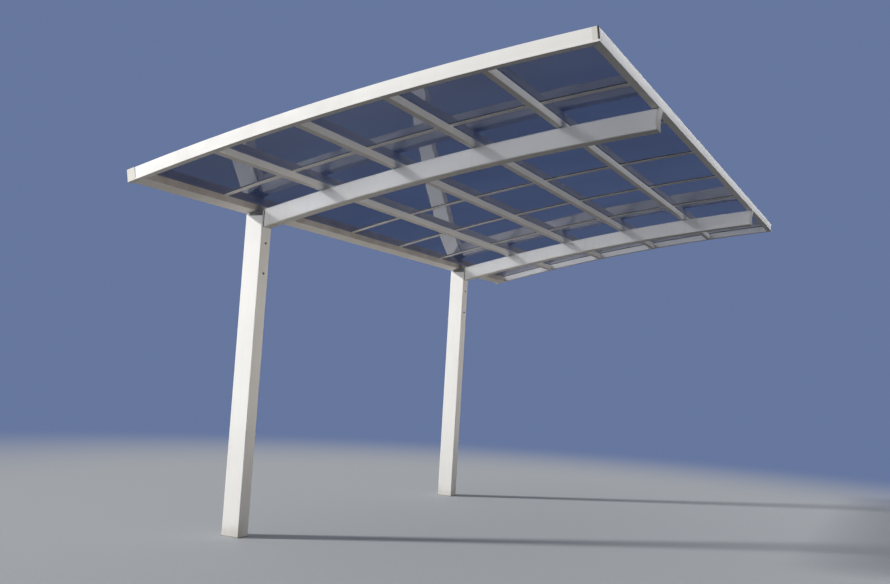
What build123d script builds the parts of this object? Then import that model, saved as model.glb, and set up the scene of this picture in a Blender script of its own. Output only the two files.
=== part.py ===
"""One-sided cantilever carport: two posts, two curved arms and an arched glazed roof."""

from build123d import *
import math
import os

# Overall size, in millimetres. X runs from the posts to the open side, Y along the bay, Z up.
# The origin is the centre of the near post's foot.
roof_length = 5700
roof_reach = 3000
roof_radius = 20400
back_edge_height = 2300
front_edge_rise = 568

# Posts
post_spacing = 3330
post_depth = 150
post_width = 110
post_wall = 4
post_corner = 6
post_setback = 5
foot_plate_thickness = 12

# Arms
arm_depth = 128
arm_width = 86
arm_wall = 4
arm_corner = 8
arm_end_hollow_radius = 260
arm_end_setback = 11
arm_end_hollow_drop = 85
end_cap_thickness = 8
root_plate_thickness = 6
root_plate_height = 110
root_plate_width = 74
seat_pad_thickness = 6
seat_pad_width = 60
seat_pad_length = 30

# Perimeter frame
frame_width = 45
frame_height = 80
frame_wall = 3
frame_lip = 10
frame_lip_step = 2
frame_lean = 2
rebate_depth = 16

# Gutter beam
gutter_width = 92
gutter_floor = 4
gutter_inner_wall = 6
gutter_trough_width = 50
corner_block_width = 66
corner_block_overhang = 15
sheet_overhang = 14

# Purlins, glazing bars, caps and sheets
purlin_count = 4
purlin_pitch = 591
front_purlin_gap = 565
purlin_width = 38
purlin_height = 50
purlin_wall = 2.5
purlin_corner = 2
bay_count = 7
bar_width = 42
bar_height = 6
bar_wall = 1.5
stem_width = 8
cap_width = 36
cap_height = 5
sheet_thickness = 4

# Clearances
seat_clearance = 0.1
rebate_clearance = 0.3
sheet_side_clearance = 3
plate_clearance = 0.2

# Where the roof lies
back_edge_x = -post_depth / 2 - post_setback
front_edge_x = back_edge_x + roof_reach
front_edge_height = back_edge_height + front_edge_rise
near_edge_y = -(roof_length - post_spacing) / 2
far_edge_y = near_edge_y + roof_length
near_inner_y = near_edge_y + frame_width
far_inner_y = far_edge_y - frame_width
post_places = {"near": 0, "far": post_spacing}

# The roof's arc: its axis is parallel to Y and lies far below
chord = math.hypot(roof_reach, front_edge_rise)
apothem = math.sqrt(roof_radius**2 - (chord / 2) ** 2)
axis_x = (back_edge_x + front_edge_x) / 2 + apothem * front_edge_rise / chord
axis_z = (back_edge_height + front_edge_height) / 2 - apothem * roof_reach / chord
roof_axis = Axis((axis_x, 0, axis_z), (0, 1, 0))


def arc_angle(x, z):
    """Angle of a point about the roof's axis, from straight up towards the open side."""
    return math.atan2(x - axis_x, z - axis_z)


back_angle = arc_angle(back_edge_x, back_edge_height)
front_angle = arc_angle(front_edge_x, front_edge_height)
gutter_angle = back_angle + gutter_width / roof_radius
front_inner_angle = front_angle - frame_width / roof_radius

# Heights above the arc's underside, measured along its radius
bar_seat = purlin_height + seat_clearance
sheet_seat = bar_seat + bar_height
sheet_top = sheet_seat + sheet_thickness


def radial(angle):
    """Unit vector pointing out of the arc."""
    return Vector(math.sin(angle), 0, math.cos(angle))


def tangent(angle):
    """Unit vector along the arc, rising to the open side."""
    return Vector(math.cos(angle), 0, -math.sin(angle))


def on_arc(angle, y, height=0):
    """Point above the arc's underside."""
    return Vector(axis_x, y, axis_z) + radial(angle) * (roof_radius + height)


def section_plane(angle, y, outward):
    """Plane across a member, its first axis pointing outward and its second out of the arc."""
    return Plane(origin=on_arc(angle, y), x_dir=outward, z_dir=outward.cross(radial(angle)))


def frame_outline(start, width):
    """Outline of the perimeter frame and gutter, drawn flat: a lip, then a face that curves in."""
    face_foot = (width - frame_lip_step, frame_lip + frame_lip_step)
    top_corner = (width - frame_lip_step - frame_lean, frame_height)
    with BuildSketch() as outline:
        with BuildLine():
            Polyline(
                face_foot, (width, frame_lip), (width, 0), (start, 0), (start, frame_height), top_corner
            )
            TangentArc(face_foot, top_corner, tangent=(0, 1))
        make_face()
    return outline.sketch_local


def frame_chamber(start, width, low, high):
    """Hollow inside the outline, one wall in from it and between two heights."""
    with BuildSketch() as chamber:
        add(frame_outline(start, width))
        offset(amount=-frame_wall, kind=Kind.INTERSECTION, mode=Mode.REPLACE)
        with Locations((0, low)):
            Rectangle(width, high - low, align=(Align.MIN, Align.MIN), mode=Mode.INTERSECT)
    return chamber.sketch_local


def frame_section(plane):
    """Section of the perimeter frame: two chambers, and a rebate between them for the sheets."""
    rebate_floor = sheet_seat - rebate_clearance
    rebate_top = sheet_top + rebate_clearance
    with BuildSketch(plane) as section:
        add(frame_outline(0, frame_width))
        with Locations((0, rebate_floor)):
            Rectangle(
                rebate_depth,
                rebate_top - rebate_floor,
                align=(Align.MIN, Align.MIN),
                mode=Mode.SUBTRACT,
            )
        add(frame_chamber(0, frame_width, 0, rebate_floor - frame_wall), mode=Mode.SUBTRACT)
        add(frame_chamber(0, frame_width, rebate_top + frame_wall, frame_height), mode=Mode.SUBTRACT)
    return section.sketch


def gutter_section(plane):
    """Section of the gutter beam: an open trough under the sheets and a box behind it."""
    box_start = gutter_inner_wall + gutter_trough_width
    with BuildSketch(plane) as section:
        add(frame_outline(0, gutter_width))
        with Locations((gutter_inner_wall, gutter_floor)):
            Rectangle(
                gutter_trough_width,
                frame_height - gutter_floor,
                align=(Align.MIN, Align.MIN),
                mode=Mode.SUBTRACT,
            )
        with Locations((0, purlin_height)):
            Rectangle(gutter_inner_wall, frame_height, align=(Align.MIN, Align.MIN), mode=Mode.SUBTRACT)
        add(frame_chamber(box_start, gutter_width, 0, frame_height), mode=Mode.SUBTRACT)
    return section.sketch


def corner_section(plane):
    """Section of the moulded block that closes a gutter end and stands out behind it."""
    back = gutter_width + corner_block_overhang
    with BuildSketch(plane) as section:
        add(frame_outline(back - corner_block_width, back))
    return section.sketch


def box_section(plane, width, height, corner, wall):
    """Hollow box section that stands on the plane's first axis."""
    with BuildSketch(plane) as section:
        with Locations((0, height / 2)):
            RectangleRounded(width, height, corner)
            Rectangle(width - 2 * wall, height - 2 * wall, mode=Mode.SUBTRACT)
    return section.sketch


def save(piece, name):
    """Label a finished piece and write it to its own file."""
    piece.part.label = name
    export_step(piece.part, f"parts/{name}.step")


os.makedirs("parts", exist_ok=True)

# Posts, cut at the top to the gutter beam's underside and level in front of it
gutter_seat = Plane(origin=on_arc(gutter_angle, 0), x_dir=(0, 1, 0), z_dir=radial(gutter_angle))
level_top = Plane(origin=on_arc(gutter_angle, 0), z_dir=(0, 0, 1))
for side, y in post_places.items():
    with BuildPart() as post:
        with BuildSketch(Plane.XY):
            with Locations((0, y)):
                RectangleRounded(post_depth, post_width, post_corner)
                RectangleRounded(
                    post_depth - 2 * post_wall,
                    post_width - 2 * post_wall,
                    post_corner - post_wall,
                    mode=Mode.SUBTRACT,
                )
        extrude(amount=front_edge_height)
        split(bisect_by=gutter_seat, keep=Keep.BOTTOM)
        split(bisect_by=level_top, keep=Keep.BOTTOM)
    save(post, f"{side}_post")

    with BuildPart() as foot_plate:
        with BuildSketch(Plane.XY):
            with Locations((0, y)):
                RectangleRounded(
                    post_depth - 2 * post_wall - 2 * plate_clearance,
                    post_width - 2 * post_wall - 2 * plate_clearance,
                    post_corner - post_wall,
                )
        extrude(amount=foot_plate_thickness)
    save(foot_plate, f"{side}_post_foot_plate")

# Arms, each on a plate on its post's face, with a hollowed end under the front edge
arm_tip = on_arc(front_angle, 0)
tip_axis_x = arm_tip.X + arm_end_hollow_radius - arm_end_setback
tip_axis_z = arm_tip.Z - arm_end_hollow_drop
arm_underside = -seat_pad_thickness - arm_depth
arm_root_x = post_depth / 2 + root_plate_thickness
arm_sweep = math.degrees(front_angle - back_angle) + 1
root_height = on_arc(gutter_angle, 0).Z - root_plate_height / 2
for side, y in post_places.items():
    arm_start = section_plane(back_angle, y, Vector(0, 1, 0))
    arm_plane = Plane(
        origin=on_arc(back_angle, y, arm_underside), x_dir=arm_start.x_dir, z_dir=arm_start.z_dir
    )
    arm_face = box_section(arm_plane, arm_width, arm_depth, arm_corner, arm_wall)
    tip_plane = Plane(origin=(tip_axis_x, y, tip_axis_z), x_dir=(1, 0, 0), z_dir=(0, -1, 0))

    with BuildPart() as arm:
        revolve(arm_face, axis=roof_axis, revolution_arc=arm_sweep)
        split(bisect_by=Plane(origin=(arm_root_x, 0, 0), z_dir=(1, 0, 0)), keep=Keep.TOP)
        with BuildSketch(tip_plane):
            Circle(arm_end_hollow_radius + end_cap_thickness)
        extrude(amount=arm_width, both=True, mode=Mode.SUBTRACT)
    save(arm, f"{side}_arm")

    with BuildSketch(arm_plane) as cap_face:
        with Locations((0, (arm_depth + seat_pad_thickness) / 2)):
            RectangleRounded(arm_width, arm_depth + seat_pad_thickness, arm_corner)
    with BuildPart() as end_cap:
        revolve(cap_face.sketch, axis=roof_axis, revolution_arc=arm_sweep)
        split(bisect_by=Plane(origin=(arm_tip.X - arm_depth, 0, 0), z_dir=(1, 0, 0)), keep=Keep.TOP)
        with BuildSketch(tip_plane):
            Circle(arm_end_hollow_radius + end_cap_thickness)
            Circle(arm_end_hollow_radius, mode=Mode.SUBTRACT)
        extrude(amount=arm_width, both=True, mode=Mode.INTERSECT)
    save(end_cap, f"{side}_arm_end_cap")

    with BuildPart() as root_plate:
        with BuildSketch(Plane(origin=(post_depth / 2, y, root_height), x_dir=(0, 1, 0), z_dir=(1, 0, 0))):
            Rectangle(root_plate_width, root_plate_height)
        extrude(amount=root_plate_thickness)
    save(root_plate, f"{side}_arm_root_plate")

# Gutter beam along the back and the blocks that close its ends
gutter_start = section_plane(gutter_angle, near_inner_y, tangent(gutter_angle) * -1)
with BuildPart() as gutter_beam:
    extrude(gutter_section(gutter_start), amount=far_inner_y - near_inner_y)
save(gutter_beam, "gutter_beam")

for side, y in {"near": near_edge_y, "far": far_inner_y}.items():
    block_plane = section_plane(gutter_angle, y, tangent(gutter_angle) * -1)
    with BuildPart() as corner_block:
        extrude(corner_section(block_plane), amount=frame_width)
    save(corner_block, f"{side}_gutter_corner")

# Front beam, mitred to the gable frames
front_start = section_plane(front_inner_angle, far_edge_y, tangent(front_inner_angle))
mitre_planes = {
    "near": Plane(
        origin=on_arc(front_inner_angle, near_inner_y),
        z_dir=(tangent(front_inner_angle) + Vector(0, 1, 0)).normalized(),
    ),
    "far": Plane(
        origin=on_arc(front_inner_angle, far_inner_y),
        z_dir=(tangent(front_inner_angle) - Vector(0, 1, 0)).normalized(),
    ),
}
with BuildPart() as front_beam:
    extrude(frame_section(front_start), amount=roof_length)
    split(bisect_by=mitre_planes["near"], keep=Keep.TOP)
    split(bisect_by=mitre_planes["far"], keep=Keep.TOP)
save(front_beam, "front_beam")

# Gable frames, curved about the roof's axis and cut square where they meet the gutter's end blocks
gable_gap = gutter_width + corner_block_overhang - corner_block_width
gable_start = on_arc(gutter_angle, 0) - tangent(gutter_angle) * gable_gap
gable_start_plane = Plane(origin=gable_start, z_dir=tangent(gutter_angle))
for side, inner_y, outward in (
    ("near", near_inner_y, Vector(0, -1, 0)),
    ("far", far_inner_y, Vector(0, 1, 0)),
):
    gable_plane = section_plane(back_angle, inner_y, outward)
    gable_sweep = math.degrees(front_angle - back_angle) + 1
    with BuildPart() as gable_frame:
        revolve(frame_section(gable_plane), axis=roof_axis, revolution_arc=gable_sweep)
        split(bisect_by=gable_start_plane, keep=Keep.TOP)
        split(bisect_by=mitre_planes[side], keep=Keep.BOTTOM)
    save(gable_frame, f"{side}_gable_frame")

# Purlins, counted back from the front beam
front_purlin_angle = front_inner_angle - (front_purlin_gap + purlin_width / 2) / roof_radius
purlin_angles = [
    front_purlin_angle - (purlin_count - 1 - number) * purlin_pitch / roof_radius
    for number in range(purlin_count)
]
for number, angle in enumerate(purlin_angles, start=1):
    purlin_plane = section_plane(angle, far_inner_y, tangent(angle))
    with BuildPart() as purlin:
        extrude(
            box_section(purlin_plane, purlin_width, purlin_height, purlin_corner, purlin_wall),
            amount=far_inner_y - near_inner_y,
        )
    save(purlin, f"purlin_{number}")

# Seat pads on each arm, one under every purlin and one under the front beam
pad_sweep = seat_pad_length / roof_radius
pad_starts = [angle - pad_sweep / 2 for angle in purlin_angles] + [front_inner_angle]
for side, y in post_places.items():
    with BuildPart() as seat_pads:
        for start in pad_starts:
            with BuildSketch(section_plane(start, y, Vector(0, 1, 0))) as pad_face:
                Rectangle(seat_pad_width, seat_pad_thickness, align=(Align.CENTER, Align.MAX))
            revolve(pad_face.sketch, axis=roof_axis, revolution_arc=math.degrees(pad_sweep))
    save(seat_pads, f"{side}_arm_seat_pads")

# Glazing bars, each a flat box with a stem that parts two sheets, and the caps over them
bay_pitch = roof_length / bay_count
bar_start_angle = gutter_angle - gutter_inner_wall / roof_radius
bar_sweep = math.degrees(front_inner_angle - bar_start_angle)
sheet_start_angle = gutter_angle - sheet_overhang / roof_radius
cap_sweep = math.degrees(front_inner_angle - sheet_start_angle)
for number in range(1, bay_count):
    y = near_edge_y + number * bay_pitch
    with BuildSketch(section_plane(bar_start_angle, y, Vector(0, 1, 0))) as bar_face:
        with Locations((0, bar_seat + bar_height / 2)):
            Rectangle(bar_width, bar_height)
            Rectangle(bar_width - 2 * bar_wall, bar_height - 2 * bar_wall, mode=Mode.SUBTRACT)
        with Locations((0, sheet_seat + sheet_thickness / 2)):
            Rectangle(stem_width, sheet_thickness)
    with BuildPart() as glazing_bar:
        revolve(bar_face.sketch, axis=roof_axis, revolution_arc=bar_sweep)
    save(glazing_bar, f"glazing_bar_{number}")

    with BuildSketch(section_plane(sheet_start_angle, y, Vector(0, 1, 0))) as strip_face:
        with Locations((0, sheet_top)):
            Trapezoid(cap_width, cap_height, 45, align=(Align.CENTER, Align.MIN))
    with BuildPart() as glazing_cap:
        revolve(strip_face.sketch, axis=roof_axis, revolution_arc=cap_sweep)
    save(glazing_cap, f"glazing_cap_{number}")

# Roof sheets, held in the gable frames' rebates and between the bars' stems
sheet_end_angle = front_inner_angle + (rebate_depth - sheet_side_clearance) / roof_radius
sheet_sweep = math.degrees(sheet_end_angle - sheet_start_angle)
stem_half = stem_width / 2 + sheet_side_clearance
for number in range(bay_count):
    low_y = near_edge_y + number * bay_pitch + stem_half
    high_y = near_edge_y + (number + 1) * bay_pitch - stem_half
    if number == 0:
        low_y = near_inner_y - rebate_depth + sheet_side_clearance
    if number == bay_count - 1:
        high_y = far_inner_y + rebate_depth - sheet_side_clearance
    with BuildSketch(section_plane(sheet_start_angle, low_y, Vector(0, 1, 0))) as sheet_face:
        with Locations((0, sheet_seat)):
            Rectangle(high_y - low_y, sheet_thickness, align=(Align.MIN, Align.MIN))
    with BuildPart() as roof_sheet:
        revolve(sheet_face.sketch, axis=roof_axis, revolution_arc=sheet_sweep)
    save(roof_sheet, f"roof_sheet_{number + 1}")
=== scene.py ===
"""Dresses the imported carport: finishes for its members, its small fittings, a studio and a camera."""

import logging
import math
from contextlib import contextmanager
from dataclasses import dataclass, field
from enum import Enum
from typing import Callable, Iterator

import bmesh
import bpy
from mathutils import Matrix, Vector


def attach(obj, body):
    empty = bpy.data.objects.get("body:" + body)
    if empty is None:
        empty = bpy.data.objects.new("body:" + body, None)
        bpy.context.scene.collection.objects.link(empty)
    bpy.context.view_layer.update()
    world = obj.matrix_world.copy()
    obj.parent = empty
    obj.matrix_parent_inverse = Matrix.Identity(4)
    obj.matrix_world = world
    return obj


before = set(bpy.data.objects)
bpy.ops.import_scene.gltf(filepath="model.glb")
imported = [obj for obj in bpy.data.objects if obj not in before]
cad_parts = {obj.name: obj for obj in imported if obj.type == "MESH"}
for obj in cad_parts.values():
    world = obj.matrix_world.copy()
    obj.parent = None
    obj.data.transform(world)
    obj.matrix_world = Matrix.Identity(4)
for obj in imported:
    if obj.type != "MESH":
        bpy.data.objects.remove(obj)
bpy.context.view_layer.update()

BODY = "root"
MM = 0.001

# A face or an edge points along an axis where that share of its direction is over this.
FACING = 0.9

# Sides of a rod: a hexagon head, a small round head and a larger round piece.
HEXAGON = 6
SMALL_ROUND = 12
LARGE_ROUND = 24

Colour = tuple[float, float, float, float]
Triple = tuple[float, float, float]
Socket = bpy.types.NodeSocket
log = logging.getLogger("carport")


class Run(Enum):
    """The direction a member runs in, as the stretch of its pattern along X, Y and Z."""

    ALONG_X = (0.03, 1.0, 1.0)
    ALONG_Y = (1.0, 0.03, 1.0)
    ALONG_Z = (1.0, 1.0, 0.03)
    NONE = (1.0, 1.0, 1.0)


class Side(Enum):
    """The two ends of the bay, as the sign of their way out along Y."""

    NEAR = -1
    FAR = 1

    @property
    def word(self) -> str:
        """The side's name in the names of pieces."""
        return self.name.lower()


@dataclass(frozen=True)
class RoofArc:
    """The circle that the roof follows. Places on it are given in metres along it from the back edge."""

    back_x: float = -0.080
    back_z: float = 2.300
    reach: float = 3.000
    rise: float = 0.568
    radius: float = 20.400

    @property
    def centre(self) -> Vector:
        """Where the circle's axis, which is parallel to Y, meets the plane Y = 0.

        Returns:
            The point in the row frame.
        """
        chord = math.hypot(self.reach, self.rise)
        apothem = math.sqrt(self.radius**2 - (chord / 2) ** 2)
        return Vector((
            self.back_x + self.reach / 2 + apothem * self.rise / chord,
            0.0,
            self.back_z + self.rise / 2 - apothem * self.reach / chord,
        ))

    @property
    def length(self) -> float:
        """Length of the arc from the back edge to the front edge."""
        return 2 * self.radius * math.asin(math.hypot(self.reach, self.rise) / (2 * self.radius))

    def angle(self, along: float) -> float:
        """Angle of a place on the arc from straight up, towards the open side."""
        start = math.atan2(self.back_x - self.centre.x, self.back_z - self.centre.z)
        return start + along / self.radius

    def outward(self, along: float) -> Vector:
        """Unit vector out of the arc."""
        return Vector((math.sin(self.angle(along)), 0, math.cos(self.angle(along))))

    def tangent(self, along: float) -> Vector:
        """Unit vector along the arc, rising to the open side."""
        return Vector((math.cos(self.angle(along)), 0, -math.sin(self.angle(along))))

    def point(self, along: float, y: float, height: float = 0.0) -> Vector:
        """A point above the arc's underside.

        Args:
            along: metres along the arc from the back edge.
            y: place along the bay.
            height: metres out of the arc.

        Returns:
            The point in the row frame.
        """
        return self.centre + Vector((0, y, 0)) + self.outward(along) * (self.radius + height)

    def placement(self, along: float, y: float, height: float = 0.0) -> Matrix:
        """The matrix that puts a piece on the arc.

        Args:
            along: metres along the arc from the back edge.
            y: place along the bay.
            height: metres out of the arc.

        Returns:
            A matrix whose X runs along the arc, Y along the bay and Z out of it.
        """
        axes = Matrix((self.tangent(along), Vector((0, 1, 0)), self.outward(along))).transposed()
        return Matrix.Translation(self.point(along, y, height)) @ axes.to_4x4()


@dataclass(frozen=True)
class Carport:
    """The sizes that the fittings take from the members, in metres."""

    arc: RoofArc = RoofArc()
    near_edge: float = -1.185
    far_edge: float = 4.515
    post_spacing: float = 3.330
    post_depth: float = 0.150
    post_width: float = 0.110
    post_wall: float = 0.004
    frame_width: float = 0.045
    gutter_width: float = 0.092
    gutter_floor: float = 0.004
    trough_centre: float = 0.031
    sheet_overhang: float = 0.014
    purlin_width: float = 0.038
    purlin_pitch: float = 0.591
    front_purlin_gap: float = 0.565
    bay_count: int = 7
    bar_width: float = 0.042
    cap_width: float = 0.036
    sheet_seat: float = 0.0561
    sheet_top: float = 0.0601
    cap_top: float = 0.0651

    def post_y(self, side: Side) -> float:
        """Place of a post's centre along the bay."""
        return 0.0 if side is Side.NEAR else self.post_spacing

    def inner_y(self, side: Side) -> float:
        """Place of a gable frame's inner face along the bay."""
        return self.near_edge + self.frame_width if side is Side.NEAR else self.far_edge - self.frame_width

    @property
    def front_inner(self) -> float:
        """Place of the front beam's inner face along the arc."""
        return self.arc.length - self.frame_width

    @property
    def sheet_start(self) -> float:
        """Place along the arc where the sheets and caps start, over the gutter."""
        return self.gutter_width - self.sheet_overhang

    @property
    def bar_places(self) -> list[float]:
        """Places of the glazing bars along the bay."""
        pitch = (self.far_edge - self.near_edge) / self.bay_count
        return [self.near_edge + number * pitch for number in range(1, self.bay_count)]

    @property
    def purlin_places(self) -> list[float]:
        """Places of the purlins' centres along the arc, from the gutter to the front."""
        last = self.front_inner - self.front_purlin_gap - self.purlin_width / 2
        return [last - number * self.purlin_pitch for number in (3, 2, 1, 0)]


# ---------------------------------------------------------------- node trees


class Graph:
    """A node tree under construction."""

    def __init__(self, tree: bpy.types.NodeTree) -> None:
        """Empty the tree."""
        self.tree = tree
        self.tree.nodes.clear()

    @classmethod
    def of_material(cls, name: str) -> tuple[bpy.types.Material, "Graph"]:
        """A new material and its tree.

        Args:
            name: the material's name.

        Returns:
            The material, and the graph that fills its tree.
        """
        material = bpy.data.materials.new(name)
        material.use_nodes = True
        return material, cls(material.node_tree)

    def add(self, kind: str, inputs: dict | None = None, **settings: object) -> bpy.types.Node:
        """Add a node.

        Args:
            kind: the node's type.
            inputs: sockets or plain values, by the name or number of the node's input.
            settings: the node's own properties.

        Returns:
            The node.
        """
        node = self.tree.nodes.new(kind)
        for name, value in settings.items():
            setattr(node, name, value)
        for key, value in (inputs or {}).items():
            if isinstance(value, bpy.types.NodeSocket):
                self.tree.links.new(value, node.inputs[key])
            else:
                node.inputs[key].default_value = value
        return node

    def place(self, stretch: Triple = (1.0, 1.0, 1.0)) -> Socket:
        """Object coordinates, stretched."""
        coords = self.add("ShaderNodeTexCoord").outputs["Object"]
        return self.add("ShaderNodeMapping", {"Vector": coords, "Scale": stretch}).outputs["Vector"]

    def noise(self, scale: float, detail: float = 3.0, stretch: Triple = (1.0, 1.0, 1.0)) -> Socket:
        """Noise over the piece, with scale in features a metre."""
        inputs = {"Vector": self.place(stretch), "Scale": scale, "Detail": detail}
        return self.add("ShaderNodeTexNoise", inputs).outputs["Fac"]

    def ramp(self, value: Socket, low: float, high: float, least: float = 0.0, most: float = 1.0) -> Socket:
        """A smooth step from least at low to most at high."""
        inputs = {"Value": value, "From Min": low, "From Max": high, "To Min": least, "To Max": most}
        return self.add("ShaderNodeMapRange", inputs, interpolation_type="SMOOTHSTEP").outputs["Result"]

    def sum(self, kind: str, first: Socket | float, second: Socket | float) -> Socket:
        """A Math node that works on two values."""
        return self.add("ShaderNodeMath", {0: first, 1: second}, operation=kind).outputs[0]

    def tint(self, share: Socket | float, first: Socket | Colour, second: Socket | Colour) -> Socket:
        """A blend of two colours."""
        return self.add("ShaderNodeMix", {0: share, 6: first, 7: second}, data_type="RGBA").outputs[2]

    def facing(self, axis: str) -> Socket:
        """How far the surface faces along an axis, from -1 to 1."""
        normal = self.add("ShaderNodeNewGeometry").outputs["Normal"]
        return self.add("ShaderNodeSeparateXYZ", {0: normal}).outputs[axis]

    def height(self) -> Socket:
        """Height above the ground in metres."""
        return self.add("ShaderNodeSeparateXYZ", {0: self.place()}).outputs["Z"]

    def bump(self, height: Socket, strength: float, distance: float) -> Socket:
        """A normal bent by a height."""
        inputs = {"Height": height, "Strength": strength, "Distance": distance}
        return self.add("ShaderNodeBump", inputs).outputs["Normal"]

    def surface(self, shader: Socket) -> None:
        """Show a shader on the surface."""
        self.add("ShaderNodeOutputMaterial", {"Surface": shader})

    def shows(self) -> Socket:
        """Which rays show the studio itself.

        Returns:
            One for rays from the camera, a mirror or a clear sheet, and zero for the rest.
        """
        path = self.add("ShaderNodeLightPath")
        mirrored = self.sum("MAXIMUM", path.outputs["Is Glossy Ray"], path.outputs["Is Transmission Ray"])
        return self.sum("MAXIMUM", path.outputs["Is Camera Ray"], mirrored)


# ------------------------------------------------------------------ finishes


@dataclass(frozen=True)
class PowderCoat:
    """Satin white powder coat: orange peel, faint die lines along the member, dust and rain marks, with
    painted shade on the faces that look down and, where asked, on those that look to the open side.
    """

    name: str
    run: Run
    clean: Colour = (0.86, 0.855, 0.84, 1)
    chalky: Colour = (0.80, 0.795, 0.785, 1)
    # Grime colour for the rain marks, also used for the painted shade under the members and on their inner
    # faces.
    grime_and_shade: Colour = (0.40, 0.36, 0.32, 1)
    splash: Colour = (0.46, 0.42, 0.37, 1)
    splash_height: float = 0.0
    # How far painted shade darkens the faces that look down.
    underside_shade: float = 0.30
    # How far painted shade darkens the faces that look to the open side; none unless given.
    inner_face_shade: float = 0.0

    def make(self) -> bpy.types.Material:
        """Build the material.

        Returns:
            The material, with its tree complete.
        """
        material, g = Graph.of_material(self.name)
        cloud = g.ramp(g.noise(1.6, 5.0), 0.35, 0.68)
        lines = g.noise(55.0, 2.0, self.run.value)
        colour = g.tint(cloud, self.clean, self.chalky)
        colour = g.tint(g.ramp(lines, 0.45, 0.8, 0.0, 0.25), colour, self.chalky)
        rain = g.ramp(g.noise(26.0, 4.0, (1.0, 1.0, 0.06)), 0.55, 0.78, 0.0, 0.10)
        colour = g.tint(rain, colour, self.grime_and_shade)
        # Painted shade: faces that look down are darkened towards the grime colour, in patches.
        below = g.ramp(g.sum("MULTIPLY", g.facing("Z"), -1.0), 0.35, 0.95)
        patches = g.ramp(g.noise(5.0, 5.0), 0.3, 0.75, 0.45, 1.0)
        shaded_below = g.sum("MULTIPLY", below, g.sum("MULTIPLY", patches, self.underside_shade))
        colour = g.tint(shaded_below, colour, self.grime_and_shade)
        if self.splash_height > 0:
            reach = g.sum("MULTIPLY", g.noise(9.0, 5.0), self.splash_height)
            low = g.sum("SUBTRACT", reach, g.height())
            colour = g.tint(g.ramp(low, -0.02, self.splash_height * 0.6, 0.0, 0.5), colour, self.splash)
        # Painted shade: faces that look to the open side, such as the gutter's inner wall, are darkened in
        # patches.
        if self.inner_face_shade > 0:
            inward = g.ramp(g.facing("X"), 0.6, 0.95)
            inner_shade_share = g.sum("MULTIPLY", inward, g.ramp(patches, 0, 1, 0.5, self.inner_face_shade))
            colour = g.tint(inner_shade_share, colour, self.grime_and_shade)
        gloss = g.ramp(g.noise(7.0, 4.0), 0.3, 0.7, 0.50, 0.62)
        rough = g.sum("ADD", gloss, g.sum("MULTIPLY", below, 0.32))
        peel = g.sum("MULTIPLY", g.noise(420.0, 2.0), 0.5)
        normal = g.bump(g.sum("ADD", peel, lines), 0.12, 0.4 * MM)
        g.surface(g.add("ShaderNodeBsdfPrincipled", {
            "Base Color": colour, "Roughness": rough, "Normal": normal, "IOR": 1.5,
        }).outputs[0])
        return material


@dataclass(frozen=True)
class MouldedPlastic:
    """Fine-textured moulded plastic, a shade creamier than the coat."""

    name: str = "moulded_cap"
    clean: Colour = (0.70, 0.68, 0.64, 1)
    yellowed: Colour = (0.60, 0.57, 0.51, 1)

    def make(self) -> bpy.types.Material:
        """Build the material.

        Returns:
            The material, with its tree complete.
        """
        material, g = Graph.of_material(self.name)
        colour = g.tint(g.ramp(g.noise(4.0, 5.0), 0.3, 0.75), self.clean, self.yellowed)
        grit = g.noise(900.0, 3.0)
        colour = g.tint(g.ramp(grit, 0.6, 0.8, 0.0, 0.12), colour, self.yellowed)
        rough = g.ramp(g.noise(12.0, 4.0), 0.3, 0.7, 0.42, 0.58)
        g.surface(g.add("ShaderNodeBsdfPrincipled", {
            "Base Color": colour, "Roughness": rough, "Normal": g.bump(grit, 0.18, 0.3 * MM), "IOR": 1.46,
        }).outputs[0])
        return material


@dataclass(frozen=True)
class Metal:
    """Bare metal: galvanised with a spangle, or bright with brush marks."""

    name: str
    pale: Colour
    dark: Colour
    cells: float
    least_rough: float = 0.28
    most_rough: float = 0.5
    run: Run = Run.NONE

    def make(self) -> bpy.types.Material:
        """Build the material.

        Returns:
            The material, with its tree complete.
        """
        material, g = Graph.of_material(self.name)
        flakes = g.add("ShaderNodeTexVoronoi", {"Vector": g.place(), "Scale": self.cells}).outputs["Color"]
        flake = g.add("ShaderNodeSeparateXYZ", {0: flakes}).outputs["X"]
        brush = g.noise(300.0, 3.0, self.run.value)
        colour = g.tint(g.ramp(flake, 0.0, 1.0), self.pale, self.dark)
        colour = g.tint(g.ramp(g.noise(30.0, 5.0), 0.5, 0.8, 0.0, 0.5), colour, self.dark)
        rough = g.ramp(g.sum("ADD", flake, brush), 0.3, 1.5, self.least_rough, self.most_rough)
        g.surface(g.add("ShaderNodeBsdfPrincipled", {
            "Base Color": colour, "Roughness": rough, "Metallic": 1.0,
            "Normal": g.bump(brush, 0.15, 0.2 * MM),
        }).outputs[0])
        return material


@dataclass(frozen=True)
class Rubber:
    """Dark sealing rubber with a bloom of dust, black unless other colours are given."""

    name: str = "black_rubber"
    black: Colour = (0.018, 0.018, 0.020, 1)
    bloom: Colour = (0.10, 0.098, 0.092, 1)

    def make(self) -> bpy.types.Material:
        """Build the material.

        Returns:
            The material, with its tree complete.
        """
        material, g = Graph.of_material(self.name)
        dust = g.ramp(g.noise(35.0, 5.0), 0.45, 0.75, 0.0, 0.6)
        g.surface(g.add("ShaderNodeBsdfPrincipled", {
            "Base Color": g.tint(dust, self.black, self.bloom),
            "Roughness": g.ramp(dust, 0.0, 0.6, 0.45, 0.75),
            "Normal": g.bump(g.noise(500.0, 2.0), 0.2, 0.2 * MM),
        }).outputs[0])
        return material


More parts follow.
